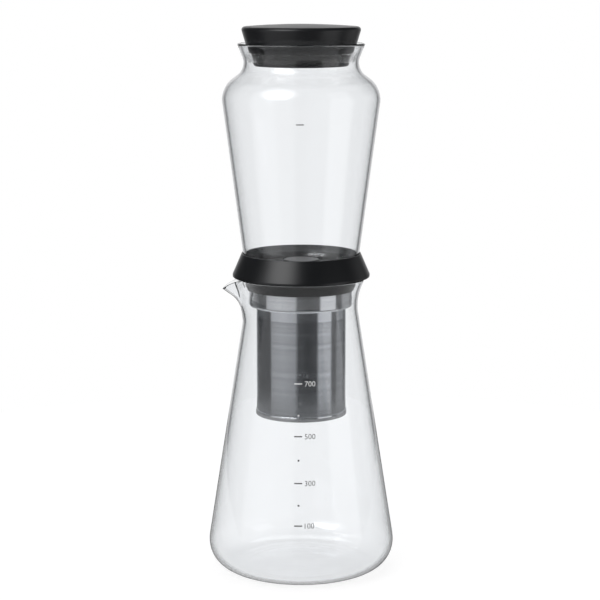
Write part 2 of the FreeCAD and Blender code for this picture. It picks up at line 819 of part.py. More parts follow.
def build_lid_insert():
    """Cup under the lid, with a groove for the soft ring and a spigot that grips the skirt."""
    body = new_body("lid_plug")
    tip = bowl_rim - d.insert_drop
    outer = insert_run()
    spigot = radius_on(skirt_run(), skirt_end) - d.weld_gap
    inner = spigot - d.lid_wall
    floor = tip + d.lid_wall
    spin(body, "insert_form", [
        (0, tip),
        (d.insert_tip_radius, tip, d.insert_round),
        (radius_on(outer, skirt_end), skirt_end),
        (spigot, skirt_end),
        (spigot, skirt_end + d.insert_spigot),
        (inner, skirt_end + d.insert_spigot),
        (inner, skirt_end - d.lid_wall),
        (radius_on(outer, floor) - d.lid_wall, floor),
        (0, floor),
    ])
    low = bowl_rim - d.seal_drop
    high = low + d.seal_height
    spin(body, "ring_groove", [
        (radius_on(outer, low) - d.seal_bite, low),
        (radius_on(outer, low) + d.cut_margin, low),
        (radius_on(outer, high) + d.cut_margin, high),
        (radius_on(outer, high) - d.seal_bite, high),
    ], "Groove")
    return body


def build_seal():
    """Soft ring between the insert and the glass neck, with notches that let air in."""
    body = new_body("lid_seal_ring")
    outer = insert_run()
    _, _, flare = bowl_runs(d.glass_wall + d.glass_gap)
    low = bowl_rim - d.seal_drop + d.weld_gap
    high = bowl_rim - d.seal_drop + d.seal_height - d.weld_gap
    bite = d.seal_bite - d.weld_gap
    spin(body, "seal_form", [
        (radius_on(outer, low) - bite, low),
        (radius_on(flare, low), low),
        (radius_on(flare, high), high),
        (radius_on(outer, high) - bite, high),
    ])
    half = d.vent_width / 2
    near = radius_on(flare, low) - d.vent_depth
    far = radius_on(flare, high) + d.cut_margin
    notch = sketch_on(body, "vent_outline", XY, low - d.cut_margin)
    draw(notch, [
        (near, -half),
        (far, -half),
        (far, half),
        (near, half),
    ])
    cut = slice_up(body, "vent_cut", notch, d.seal_height + d.cut_margin * 2)
    repeat_round(body, "vents", cut, SEAL_VENTS)
    return body


if __name__ == "__main__":
    pieces = [
        build_jug(),
        build_holder(),
        build_collar(),
        build_tube(),
        build_base_ring(),
        build_disc("strainer_base_mesh", d.tube_radius, basket_bottom + d.base_sheet, d.gauze_thick),
        build_spreader(),
        build_bowl(),
        build_bush(),
        build_nozzle(),
        build_disc("drip_filter", d.head_radius, bowl_floor_top + d.bush_lip + d.head_thick, d.gauze_thick),
        build_cap(),
        build_washer(),
        build_nut(),
        build_lid_cap(),
        build_lid_insert(),
        build_seal(),
    ]
    doc.recompute()
    for item in doc.Objects:
        if "Invalid" in item.State or "Error" in item.State:
            raise RuntimeError(f"{item.Name} did not build: {item.State}")
    os.makedirs("parts", exist_ok=True)
    for piece in pieces:
        shape = piece.Shape
        if shape.isNull() or not shape.isValid():
            raise RuntimeError(f"{piece.Label} has no valid shape")
        shape.exportStep(f"parts/{piece.Label}.step")
        print(piece.Label, len(shape.Solids), "solid", round(shape.Volume / 1000, 2), "cm3")
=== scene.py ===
# %% [markdown]
# # A cold drip coffee tower
# A glass jug carries a black ring, a long steel basket hangs in the ring, a glass water bowl sits on
# it, and a lid closes the bowl. Nearly every piece was turned, spun or blown, so nearly every piece
# here starts as a half section that is spun once round the upright axis.

# %% The frame
import math

import bmesh
import bpy
from mathutils import Matrix, Vector


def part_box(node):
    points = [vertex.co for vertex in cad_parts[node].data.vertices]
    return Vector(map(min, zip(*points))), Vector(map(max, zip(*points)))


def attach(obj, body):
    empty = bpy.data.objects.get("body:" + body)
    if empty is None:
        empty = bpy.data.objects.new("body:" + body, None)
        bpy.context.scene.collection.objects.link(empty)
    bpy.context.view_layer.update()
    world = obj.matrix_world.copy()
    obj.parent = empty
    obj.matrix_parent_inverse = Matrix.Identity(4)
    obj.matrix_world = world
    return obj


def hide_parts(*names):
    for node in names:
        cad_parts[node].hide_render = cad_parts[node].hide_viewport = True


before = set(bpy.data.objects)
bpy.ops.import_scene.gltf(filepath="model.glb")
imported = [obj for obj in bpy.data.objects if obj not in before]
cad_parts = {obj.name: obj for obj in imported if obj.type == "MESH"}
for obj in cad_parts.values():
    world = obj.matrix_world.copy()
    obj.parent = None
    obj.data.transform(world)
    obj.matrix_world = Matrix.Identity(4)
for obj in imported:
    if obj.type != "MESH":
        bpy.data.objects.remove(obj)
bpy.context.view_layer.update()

scene = bpy.context.scene
MM = 0.001


# %% [markdown]
# ## Sizes from the frame
# The pieces stand on one another, so most heights are read from the frame. The tower's sizes are in
# mm, and places on the stage are in metres.

# %% Reading the frame
def low_of(node):
    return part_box(node)[0].z / MM


def top_of(node):
    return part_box(node)[1].z / MM


def radius_of(node):
    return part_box(node)[1].x / MM


for node in ("glass_jug", "holder_ring", "glass_bowl", "lid_cap"):
    print(node, "from", round(low_of(node), 1), "to", round(top_of(node), 1), "mm")

# %% [markdown]
# ## The camera
# The photograph looks slightly down from the front with a long lens. The distance and the tilt were
# found from how the round edges flatten into ellipses. The spout points to the left.

# %% Camera
LENS = 114.0
SENSOR = 36.0
CAMERA_PLACE = Vector((-0.0009, -1.420, 0.4543))
CAMERA_TILT = 9.85
camera_data = bpy.data.cameras.new("camera")
camera_data.lens = LENS
camera_data.sensor_width = SENSOR
camera = bpy.data.objects.new("camera", camera_data)
camera.location = CAMERA_PLACE
camera.rotation_euler = (math.radians(90 - CAMERA_TILT), 0, 0)
scene.collection.objects.link(camera)
scene.camera = camera
print("camera", round(CAMERA_PLACE.length, 2), "m away")


# %% [markdown]
# ## Sums on sockets
# A shader is easier to read as a formula than as a list of links. This small class wraps a socket,
# so that `1 - mask * 0.5` adds its own Math nodes.

# %% Shader sums
class Level:
    """A node's output that takes part in sums."""

    def __init__(self, shading, socket):
        self.shading = shading
        self.socket = socket

    def maths(self, operation, *others):
        return self.shading.maths(operation, self, *others)

    def __add__(self, other):
        return self.maths("ADD", other)

    def __mul__(self, other):
        return self.maths("MULTIPLY", other)

    def __rsub__(self, other):
        return self.shading.maths("SUBTRACT", other, self)

    def __pow__(self, other):
        return self.maths("POWER", other)


class Shading:
    """A node tree that grows by formulas."""

    def __init__(self, tree):
        self.tree = tree

    def put(self, socket, value):
        if isinstance(value, Level):
            self.tree.links.new(value.socket, socket)
        elif isinstance(value, bpy.types.NodeSocket):
            self.tree.links.new(value, socket)
        elif hasattr(value, "__len__") and len(value) == 3 and socket.type == "RGBA":
            socket.default_value = (*value, 1)
        else:
            socket.default_value = value

    def node(self, kind, settings=None, inputs=None, output=0):
        made = self.tree.nodes.new(kind)
        for key, value in (settings or {}).items():
            setattr(made, key, value)
        for key, value in (inputs or {}).items():
            self.put(made.inputs[key], value)
        return Level(self, made.outputs[output])

    def maths(self, operation, *values):
        return self.node("ShaderNodeMath", {"operation": operation}, dict(enumerate(values)))

    def blend(self, mask, first, second):
        """A colour between two."""
        return self.node("ShaderNodeMix", {"data_type": "RGBA"}, {0: mask, 6: first, 7: second}, 2)

    def mix(self, mask, first, second):
        """A shader between two."""
        return self.node("ShaderNodeMixShader", None, {0: mask, 1: first, 2: second})

    def add(self, first, second):
        return self.node("ShaderNodeAddShader", None, {0: first, 1: second})

    def remap(self, value, low, high, to_low=0.0, to_high=1.0, interpolation="LINEAR"):
        return self.node("ShaderNodeMapRange", {"interpolation_type": interpolation},
                         {"Value": value, "From Min": low, "From Max": high,
                          "To Min": to_low, "To Max": to_high})

    def split(self, vector):
        parts = self.node("ShaderNodeSeparateXYZ", None, {0: vector}).socket.node
        return [Level(self, output) for output in parts.outputs]


print("shader sums ready")


# %% Finishes
class Finish(Shading):
    """A material with one Principled shader."""

    def __init__(self, name, **settings):
        self.material = bpy.data.materials.new(name)
        self.material.use_nodes = True
        super().__init__(self.material.node_tree)
        self.shader = self.tree.nodes["Principled BSDF"]
        for key, value in settings.items():
            self.set(key.replace("_", " "), value)

    def set(self, socket, value):
        self.put(self.shader.inputs[socket], value)

    def noise(self, scale, stretch=(1, 1, 1), detail=3.0):
        """Noise over object coordinates in metres, stretched."""
        where = self.node("ShaderNodeTexCoord", output="Object")
        place = self.node("ShaderNodeMapping", None, {"Vector": where, "Scale": stretch})
        return self.node("ShaderNodeTexNoise", None,
                         {"Vector": place, "Scale": scale, "Detail": detail}, "Fac")

    def bump(self, height, strength, deep):
        """Raise the surface by up to so many mm."""
        self.set("Normal", self.node("ShaderNodeBump", None,
                                     {"Height": height, "Strength": strength, "Distance": deep * MM}))


print("finishes ready")

# %% [markdown]
# ## Clear glass
# Blown heatproof glass is nearly without colour. What shows it on a white ground is its edge, where
# the eye looks along the wall and the glass turns grey. A shader that only refracts a white room
# loses that line, so a painted shade greys the colour of the glass where a surface turns away from
# the eye, and a little tint in its depth greys the foot. Blowing leaves slow waves in the wall.

# %% Glass
CLEAR, EDGE_PAINTED_SHADE = (0.962, 0.970, 0.979), (0.36, 0.41, 0.46)
EDGE_NARROWNESS = 10
DEPTH_TINT, DEPTH_DENSITY = (0.78, 0.85, 0.90, 1), 9.0
SLOW_WAVES = 28


def make_glass():
    glass = Finish("clear_glass", Transmission_Weight=1.0, IOR=1.47, Roughness=0.0)
    # Painted shade: the glass's colour greys towards its edges, where the surface turns away from the eye.
    turned_away = glass.node("ShaderNodeLayerWeight", None, {"Blend": 0.5}, "Facing")
    glass.set("Base Color", glass.blend(turned_away ** EDGE_NARROWNESS, CLEAR, EDGE_PAINTED_SHADE))
    glass.bump(glass.noise(SLOW_WAVES, (1, 1, 0.5), detail=1.0), strength=0.05, deep=0.6)
    depth = glass.node("ShaderNodeVolumeAbsorption", None, {"Color": DEPTH_TINT, "Density": DEPTH_DENSITY})
    output = next(node for node in glass.tree.nodes if node.type == "OUTPUT_MATERIAL")
    glass.put(output.inputs["Volume"], depth)
    return glass.material


GLASS = make_glass()
print("made", GLASS.name)


# %% [markdown]
# ## Plastics and silicone
# The ring is satin black and the lid satin dark grey. Moulded plastic is never quite even: a slow
# change in its shine and a very fine grain from the mould tell it from paint. The soft ring is clear
# enough that it hardly shows in front of the insert.

# %% Plastics
MOULD_CLOUD, MOULD_GRAIN = 35, 2600
SOFT_CLOUD, SOFT_GRAIN, CLOUDED = 60, 900, 0.93


def make_plastic(name, low, high, dull, grain):
    plastic = Finish(name, IOR=1.5)
    cloud = plastic.noise(MOULD_CLOUD)
    plastic.set("Base Color", plastic.blend(cloud, low, high))
    plastic.set("Roughness", cloud * 0.08 + dull)
    plastic.bump(plastic.noise(MOULD_GRAIN, detail=1.0), grain, deep=0.04)
    return plastic.material


def make_silicone(name, colour, through, dull, bend, cover=1.0):
    soft = Finish(name, Roughness=dull, IOR=bend, Transmission_Weight=through, Alpha=cover)
    cloud = soft.noise(SOFT_CLOUD)
    soft.set("Base Color", soft.blend(cloud, colour, tuple(part * CLOUDED for part in colour)))
    soft.bump(soft.noise(SOFT_GRAIN), 0.2 * dull, deep=0.05)
    return soft.material


BLACK = make_plastic("black_plastic", (0.006, 0.0065, 0.0075), (0.011, 0.012, 0.0135),
                     dull=0.26, grain=0.25)
GREY = make_plastic("grey_lid", (0.008, 0.0085, 0.0095), (0.012, 0.0125, 0.014), dull=0.26, grain=0.3)
MILKY = make_silicone("silicone", (0.80, 0.80, 0.78), through=0.15, dull=0.42, bend=1.41)
PALE = make_silicone("clear_silicone", (1.0, 0.985, 0.95), through=1.0, dull=0.04, bend=1.2, cover=0.25)
print("made", [material.name for material in (BLACK, GREY, MILKY, PALE)])

# %% [markdown]
# ## Steel
# The collar is drawn sheet, bright with very fine lines round it. The tube below is etched mesh: a
# field of fine holes in straight rows, under a plain band. The holes follow the surface, so their
# pattern is laid out on the angle round the axis and the height.

# %% Steel
DRAWN_LINES, MESH_LINES = 700, 330
SHEET_DARK, SHEET_LIGHT = (0.70, 0.71, 0.73), (0.80, 0.81, 0.82)
MESH_LIGHT, MESH_DARK = (0.66, 0.675, 0.70), (0.13, 0.14, 0.15)
HOLE_SHARE, LINE_SHARE = 0.25, 0.45
MESH_PITCH = 1.1 * MM
ROW_PITCH = MESH_PITCH * 0.6
PLAIN_BAND = 8.5 * MM


def make_steel(name, dull):
    steel = Finish(name, Metallic=1.0)
    lines = steel.noise(DRAWN_LINES, (0.02, 0.02, 1), detail=2.0)
    steel.set("Base Color", steel.blend(lines, SHEET_DARK, SHEET_LIGHT))
    steel.set("Roughness", lines * 0.1 + dull)
    steel.bump(lines, strength=0.08, deep=0.03)
    return steel.material


def make_mesh_steel(name, tube_radius, plain_above):
    steel = Finish(name, Metallic=1.0)
    across, along, up = steel.split(steel.node("ShaderNodeTexCoord", output="Object"))
    angle = along.maths("ARCTAN2", across)
    holes_round = round(2 * math.pi * tube_radius / MESH_PITCH)
    columns = (angle * (holes_round / 2)).maths("SINE")
    rows = (up * (math.pi / ROW_PITCH)).maths("SINE")
    below = up.maths("LESS_THAN", plain_above)
    hole = (columns * rows).maths("ABSOLUTE") * below
    lines = steel.noise(MESH_LINES, (0.01, 0.01, 1), detail=1.0)
    shade = hole * HOLE_SHARE + below * lines * LINE_SHARE
    steel.set("Base Color", steel.blend(shade, MESH_LIGHT, MESH_DARK))
    steel.set("Roughness", below * 0.05 + 0.08)
    steel.bump(1 - hole, strength=0.02, deep=0.02)
    return steel.material


COLLAR_STEEL = make_steel("polished_steel", dull=0.03)
tube_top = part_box("strainer_mesh")[1]
MESH_STEEL = make_mesh_steel("mesh_steel", tube_top.x, tube_top.z - PLAIN_BAND)
print("made", COLLAR_STEEL.name, MESH_STEEL.name, "for a radius of", round(tube_top.x / MM, 2), "mm")


# %% [markdown]
# ## Printed marks
# The scale is printed in a thin enamel. Against the light it looks grey, and in front of the dark
# steel it looks pale, so the marks there get a paler copy of the ink: painted light on the same print.

# %% Ink
WORN = 1500


def make_ink(name, thin, thick):
    ink = Finish(name, Roughness=0.5)
    worn = ink.noise(WORN, detail=2.0)
    ink.set("Base Color", ink.blend(worn, (thin,) * 3, (thick,) * 3))
    return ink.material


# One print in two copies: grey for marks against the light, and a paler copy with painted light for marks in
# front of the steel.
INK = make_ink("grey_ink", thin=0.16, thick=0.24)
PAINTED_LIT_INK = make_ink("painted_lit_ink", thin=0.78, thick=0.88)
print("made", INK.name, PAINTED_LIT_INK.name)

# %% [markdown]
# ## Turned pieces
# A half section is a chain of straight runs through corners, each (radius, height, rounding) or, if
# it is sharp, (radius, height). The rounded corners get a bevel on the vertices, long runs are divided
# so that the surface bends evenly, and the chain is spun once round. Doubles are merged where the
# ends meet, and the normals are worked out afterwards.

# %% Turning
ARC_STEP = math.radians(7)
SHARP_TURN = math.radians(35)
MERGE = 0.01 * MM


def rounding_length(before, corner, after, radius):
    """How far from a corner its rounding starts."""
    half = (before - corner).angle(after - corner) / 2
    return radius / math.tan(half)


def half_section(corners, closed, longest):
    """A chain of edges in the XZ plane."""
    bm = bmesh.new()
    points = [Vector((corner[0] * MM, 0, corner[1] * MM)) for corner in corners]
    chain = [bm.verts.new(point) for point in points]
    for first, second in zip(chain, chain[1:] + chain[:1] if closed else chain[1:]):
        bm.edges.new((first, second))
    for index, corner in enumerate(corners):
        if len(corner) < 3:
            continue
        before, here, after = points[index - 1], points[index], points[(index + 1) % len(points)]
        length = rounding_length(before, here, after, corner[2] * MM)
        turn = math.pi - (before - here).angle(after - here)
        bmesh.ops.bevel(bm, geom=[chain[index]], offset=length, offset_type="OFFSET",
                        segments=max(3, round(turn / ARC_STEP)), profile=0.5,
                        affect="VERTICES", material=-1)
    for edge in list(bm.edges):
        parts = math.ceil(edge.calc_length() / (longest * MM))
        if parts > 1:
            bmesh.ops.subdivide_edges(bm, edges=[edge], cuts=parts - 1)
    return bm


def spun(corners, closed, steps=160, longest=6.0):
    """Spin a half section once round."""
    bm = half_section(corners, closed, longest)
    bmesh.ops.spin(bm, geom=list(bm.verts) + list(bm.edges), cent=(0, 0, 0), axis=(0, 0, 1),
                   angle=2 * math.pi, steps=steps, use_merge=True)
    bmesh.ops.remove_doubles(bm, verts=list(bm.verts), dist=MERGE)
    bmesh.ops.recalc_face_normals(bm, faces=list(bm.faces))
    for edge in bm.edges:
        if len(edge.link_faces) == 2 and edge.calc_face_angle(0) > SHARP_TURN:
            edge.smooth = False
    return bm


print("turning helpers ready")


# %% Placing a piece
def finished(name, bm, material, body, slot, *nodes):
    """Turn a bmesh into a smooth piece that rides on a body."""
    mesh = bpy.data.meshes.new(name)
    bm.to_mesh(mesh)
    bm.free()
    mesh.shade_smooth()
    mesh.materials.append(material)
    piece = bpy.data.objects.new(name, mesh)
    scene.collection.objects.link(piece)
    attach(piece, body)
    if nodes:
        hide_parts(*nodes)
    print(name, len(mesh.polygons), "faces")


print("placing ready")


# %% [markdown]
# ## Walls
# Jug and bowl are blown with one even wall. In the half section a face of the wall is a straight run,
# and the inner face is the outer one moved in by the thickness of the glass.

# %% Wall faces
WALL = 2.2
RIM_OUTSIDE, RIM_INSIDE = 1.05, 0.95
GLASS_LONGEST = 3.5


def face_through(low, high, inward=0.0):
    """Slope of a face through two (radius, height) points, and its radius at height nought."""
    slope = (high[0] - low[0]) / (high[1] - low[1])
    return slope, low[0] - slope * low[1] - inward * math.sqrt(1 + slope ** 2)


def radius_on(face, up):
    return face[0] * up + face[1]


def meet(lower, upper):
    """Radius and height where two faces meet."""
    up = (lower[1] - upper[1]) / (upper[0] - lower[0])
    return radius_on(lower, up), up


print("glass wall", WALL, "mm")

# %% [markdown]
# ## The jug
# The jug has a hollow foot, a wide rounded corner, a tapering side, a waist and a flared rim. Both
# faces of the wall are in the half section. The foot is pushed up as a whole, so its two faces stay
# parallel, and the rim is melted round.

# %% Jug sizes
JUG_TOP = top_of("glass_jug")
JUG_FOOT = (74.55, 0)
JUG_CORNER = 22.0
JUG_NECK = (41.7, 208.4)
JUG_WAIST = 34.0
JUG_RIM = (48.6, JUG_TOP)
HOLLOW_RADIUS, HOLLOW_RISE, HOLLOW_FLAT = 41.0, 1.2, 0.6
HOLLOW_EDGE, HOLLOW_ROUND = 3.0, 150
JUG_STEPS = 240
jug_side = face_through(JUG_FOOT, JUG_NECK)
print("the jug's side leans in by", round(-jug_side[0], 3), "per mm of height")


# %% Jug section
def jug_section():
    side = face_through(JUG_FOOT, JUG_NECK, WALL)
    flare = face_through(JUG_NECK, JUG_RIM, WALL)
    return [
        (0, HOLLOW_RISE),
        (HOLLOW_RADIUS * HOLLOW_FLAT, HOLLOW_RISE, HOLLOW_ROUND),
        (HOLLOW_RADIUS, 0, HOLLOW_EDGE),
        (*JUG_FOOT, JUG_CORNER),
        (*JUG_NECK, JUG_WAIST),
        (*JUG_RIM, RIM_OUTSIDE),
        (radius_on(flare, JUG_TOP), JUG_TOP, RIM_INSIDE),
        (*meet(side, flare), JUG_WAIST + WALL),
        (radius_on(side, WALL), WALL, JUG_CORNER - WALL),
        (HOLLOW_RADIUS, WALL, HOLLOW_EDGE),
        (HOLLOW_RADIUS * HOLLOW_FLAT, WALL + HOLLOW_RISE, HOLLOW_ROUND),
        (0, WALL + HOLLOW_RISE),
    ]


jug_mesh = spun(jug_section(), False, JUG_STEPS, GLASS_LONGEST)
print("round jug", len(jug_mesh.verts), "points")

# %% [markdown]
# ## The spout
# The glassblower pulls the hot rim out with a rod. The lip drops towards the tip, the wall follows,
# and a broad soft bulge runs down into the waist. Here the finished round jug is pulled in the same
# way: each point near the spout moves down to the lip's line and outwards. The pull is the sum of a
# broad swelling and a narrow nose, and the nose gets broader below the lip.

# %% Spout sizes
SPOUT_ROOT = 192.0
LIP_FROM = 44.5
LIP_TIP = (56.1, 216.8)
BROAD_ANGLE = 34.0
NARROW_ANGLE = 5.6
NOSE_SPREADS_BELOW = 211.0
NOSE_SPREAD = 1.6
# Height, broad pull and narrow pull.
PULLS = [(192.0, 0.0, 0.0), (199.3, 2.1, 0.1), (203.9, 3.2, 0.4), (208.5, 3.4, 2.2), (210.8, 3.1, 4.1),
         (213.1, 2.7, 6.4), (216.8, 2.3, 9.3), (226.2, 1.4, 18.0)]
print("the lip falls", round(JUG_TOP - LIP_TIP[1], 1), "mm")


# %% Spout
def between(table, height, column):
    """Value of a column of the table at a height, straight from row to row."""
    if height <= table[0][0]:
        return table[0][column]
    for low, high in zip(table, table[1:]):
        if height <= high[0]:
            share = (height - low[0]) / (high[0] - low[0])
            return low[column] + (high[column] - low[column]) * share
    return table[-1][column]


def nose_at(angle, spread=1.0):
    """The narrow nose, 1 in the middle of the spout."""
    return math.exp(-(angle / (NARROW_ANGLE * spread)) ** 2)


def lip_drop(angle):
    """How far the lip falls below the rim at an angle from the spout, in degrees."""
    reach = JUG_RIM[0] * math.cos(math.radians(angle))
    nose = (LIP_TIP[0] - JUG_RIM[0]) * nose_at(angle)
    fall = (JUG_TOP - LIP_TIP[1]) / (LIP_TIP[0] - LIP_FROM)
    return max(0.0, reach + nose - LIP_FROM) * fall


def pull_spout(bm):
    for vert in bm.verts:
        across, along, up = vert.co / MM
        angle = math.degrees(math.atan2(along, -across))
        if up < SPOUT_ROOT or abs(angle) > BROAD_ANGLE:
            continue
        share = (up - SPOUT_ROOT) / (JUG_TOP - SPOUT_ROOT)
        up -= lip_drop(angle) * share ** 2
        below = max(0.0, (NOSE_SPREADS_BELOW - up) / (NOSE_SPREADS_BELOW - SPOUT_ROOT))
        broad = math.cos(math.radians(90 * angle / BROAD_ANGLE)) ** 2
        narrow = nose_at(angle, 1 + NOSE_SPREAD * below)
        radius = math.hypot(across, along)
        radius += broad * between(PULLS, up, 1) + narrow * between(PULLS, up, 2)
        turn = math.atan2(along, across)
        vert.co = Vector((radius * math.cos(turn), radius * math.sin(turn), up)) * MM


pull_spout(jug_mesh)
finished("jug", jug_mesh, GLASS, "jug", "clear_glass", "glass_jug")

# %% [markdown]
# ## The printed scale
# Short bars with plain numbers, and a dot about half way between them. Each mark is a thin flat
# shape that is laid on the curve of the glass, so it is bent after it is drawn.

# %% Mark sizes
BAR_LEFT, BAR_WIDE, BAR_HIGH = -5.2, 5.9, 0.95
DOT_ACROSS, DOT_RADIUS = -2.0, 0.75
NUMBER_LEFT, NUMBER_HIGH = 2.6, 3.9
INK_THICK = 0.12
BARS = [("700", 153.6), ("500", 115.2), ("300", 81.0), ("100", 49.9)]
DOTS = [130.4, 97.7, 64.8]
STAND_UP = Matrix.Rotation(math.radians(90), 4, "X")
print(len(BARS), "bars and", len(DOTS), "dots")


# %% Drawing marks
def bar_of(bm, left, middle, wide, high):
    drawn = bmesh.ops.create_grid(bm, x_segments=6, y_segments=1, size=0.5 * MM)["verts"]
    shape = Matrix.Translation(Vector((left + wide / 2, 0, middle)) * MM)
    bmesh.ops.transform(bm, matrix=shape @ STAND_UP @ Matrix.Diagonal((wide, high, 1, 1)), verts=drawn)


def dot_of(bm, across, middle, radius):
    drawn = bmesh.ops.create_circle(bm, cap_ends=True, segments=20, radius=radius * MM)["verts"]
    shape = Matrix.Translation(Vector((across, 0, middle)) * MM)
    bmesh.ops.transform(bm, matrix=shape @ STAND_UP, verts=drawn)


def number_of(bm, text, left, middle, high):
    curve = bpy.data.curves.new("number", "FONT")
    curve.body = text
    curve.align_x = "LEFT"
    curve.resolution_u = 3
    holder = bpy.data.objects.new("number", curve)
    mesh = bpy.data.meshes.new_from_object(holder)
    bm.from_mesh(mesh)
    bpy.data.objects.remove(holder)
    bpy.data.curves.remove(curve)
    bpy.data.meshes.remove(mesh)
    lows = [min(vert.co[axis] for vert in bm.verts) for axis in (0, 1)]
    tall = max(vert.co.y for vert in bm.verts) - lows[1]
    shape = Matrix.Translation((left * MM, 0, (middle - high / 2) * MM))
    shape = shape @ STAND_UP @ Matrix.Scale(high / tall * MM, 4) @ Matrix.Translation((-lows[0], -lows[1], 0))
    bmesh.ops.transform(bm, matrix=shape, verts=list(bm.verts))


def lay_on(bm, radius_at):
    """Lay a flat drawing (across, up) on the front of a round wall, and give it its thickness."""
    for vert in bm.verts:
        across, _, up = vert.co / MM
        radius = radius_at(up) + INK_THICK / 2
        angle = across / radius
        vert.co = Vector((radius * math.sin(angle), -radius * math.cos(angle), up)) * MM
    bmesh.ops.recalc_face_normals(bm, faces=list(bm.faces))
    for face in bm.faces:
        if face.normal.y > 0:
            face.normal_flip()
    bmesh.ops.solidify(bm, geom=list(bm.faces), thickness=INK_THICK * MM)


def print_mark(name, body, radius_at, ink, draw, *where):
    """Draw one mark and lay it on the glass."""
    bm = bmesh.new()
    draw(bm, *where)
    lay_on(bm, radius_at)
    finished(name, bm, ink, body, "clear_glass")


print("marks ready to be drawn")


# %% The scale
def jug_radius(up):
    return radius_on(jug_side, up)


# Marks above the basket's bottom stand in front of the dark steel and get the painted-lit copy of the print.
def ink_at(height):
    return PAINTED_LIT_INK if height > low_of("strainer_base_ring") else INK


for text, height in BARS:
    print_mark("mark_bar_" + text, "jug", jug_radius, ink_at(height),
               bar_of, BAR_LEFT, height, BAR_WIDE, BAR_HIGH)
    print_mark("mark_number_" + text, "jug", jug_radius, ink_at(height),
               number_of, text, NUMBER_LEFT, height, NUMBER_HIGH)
for number, height in enumerate(DOTS, start=1):
    print_mark(f"mark_dot_{number}", "jug", jug_radius, ink_at(height),
               dot_of, DOT_ACROSS, height, DOT_RADIUS)

# %% [markdown]
# ## The water bowl
# The bowl is blown like the jug: a rounded foot with a hole for the drip unit, a side that widens
# upwards, a round shoulder, a tight neck and a flared rim. Its points are (radius, height over its
# own floor).

# %% Bowl sizes
BOWL_FLOOR, BOWL_TOP = low_of("glass_bowl"), top_of("glass_bowl")
BOWL_HOLE = 8.5
BOWL_FOOT, BOWL_CORNER = (41.95, 0.0), 11.5
BOWL_WIDEST, BOWL_SHOULDER = (60.3, 138.95), 18.0
BOWL_NECK, BOWL_WAIST = (40.5, 153.5), 10.8
BOWL_RIM = (47.8, BOWL_TOP - BOWL_FLOOR)
BOWL_STEPS = 200
FILL_HEIGHT, FILL_LEFT, FILL_WIDE, FILL_HIGH = 345.0, -3.7, 5.6, 0.8
bowl_side = face_through(BOWL_FOOT, BOWL_WIDEST)
print("bowl from", round(BOWL_FLOOR, 1), "to", round(BOWL_TOP, 1), "mm")


# %% Bowl
def bowl_section():
    side = face_through(BOWL_FOOT, BOWL_WIDEST, WALL)
    shoulder = face_through(BOWL_WIDEST, BOWL_NECK, WALL)
    flare = face_through(BOWL_NECK, BOWL_RIM, WALL)
    corners = [
        (BOWL_HOLE, 0),
        (*BOWL_FOOT, BOWL_CORNER),
        (*BOWL_WIDEST, BOWL_SHOULDER),
        (*BOWL_NECK, BOWL_WAIST),
        (*BOWL_RIM, RIM_OUTSIDE),
        (radius_on(flare, BOWL_RIM[1]), BOWL_RIM[1], RIM_INSIDE),
        (*meet(shoulder, flare), BOWL_WAIST + WALL),
        (*meet(side, shoulder), BOWL_SHOULDER - WALL),
        (radius_on(side, WALL), WALL, BOWL_CORNER - WALL),
        (BOWL_HOLE, WALL),
    ]
    return [(corner[0], corner[1] + BOWL_FLOOR, *corner[2:]) for corner in corners]


def bowl_radius(up):
    return radius_on(bowl_side, up - BOWL_FLOOR)


finished("bowl", spun(bowl_section(), True, BOWL_STEPS, GLASS_LONGEST), GLASS, "bowl", "clear_glass",
         "glass_bowl")
print_mark("mark_fill", "bowl", bowl_radius, INK, bar_of, FILL_LEFT, FILL_HEIGHT, FILL_WIDE, FILL_HIGH)

# %% [markdown]
# ## The holder ring
# One black moulding. Its foot is a flange on the jug's rim, its plug reaches into the jug's mouth
# round the steel collar, and its top is a thin lip round the bowl. The bowl rests in it with a little
# play.

# %% Holder ring sizes
PLAY = 0.3
COLLAR_BRIM = 1.6
COLLAR = radius_of("strainer_collar") - COLLAR_BRIM
BRIM_THICK = 1.1
LEDGE = top_of("strainer_collar") - BRIM_THICK
RING_TOP, PLUG_TIP = top_of("holder_ring"), low_of("holder_ring")
PLUG_LONG = 9.5
PLUG_TIP_RADIUS, PLUG_ROOT_RADIUS = 39.9, 44.6
FLANGE = PLUG_TIP + PLUG_LONG
FLANGE_RADIUS, FLANGE_THICK = 51.8, 1.7
RING_LIP = 44.95
SEAT_RISE, SEAT_BEND = 10.5, 11.0
SEAT_FLOOR = 3.6
seat = face_through(BOWL_FOOT, BOWL_WIDEST, -PLAY)
print("collar radius", round(COLLAR, 2), "mm, ledge at", round(LEDGE, 1), "mm")

# %% Holder ring
ring_corners = [
    (COLLAR + PLAY, PLUG_TIP, 0.3),
    (PLUG_TIP_RADIUS, PLUG_TIP, 0.4),
    (PLUG_ROOT_RADIUS, FLANGE, 0.6),
    (FLANGE_RADIUS, FLANGE, 0.35),
    (FLANGE_RADIUS, FLANGE + FLANGE_THICK, 0.5),
    (RING_LIP, RING_TOP, 0.3),
    (radius_on(seat, RING_TOP - BOWL_FLOOR), RING_TOP, 0.15),
    (radius_on(seat, SEAT_RISE), BOWL_FLOOR + SEAT_RISE, SEAT_BEND),
    (COLLAR + COLLAR_BRIM + PLAY, BOWL_FLOOR + SEAT_FLOOR),
    (COLLAR + COLLAR_BRIM + PLAY, LEDGE),
    (COLLAR + PLAY, LEDGE),
]
finished("ring", spun(ring_corners, True), BLACK, "holder", "black_plastic", "holder_ring")

# %% [markdown]
# ## The basket
# A bright drawn cup hangs by its brim on a ledge in the ring. The tube of etched mesh is welded
# into its floor, and a bright ring holds the mesh disc at the bottom.

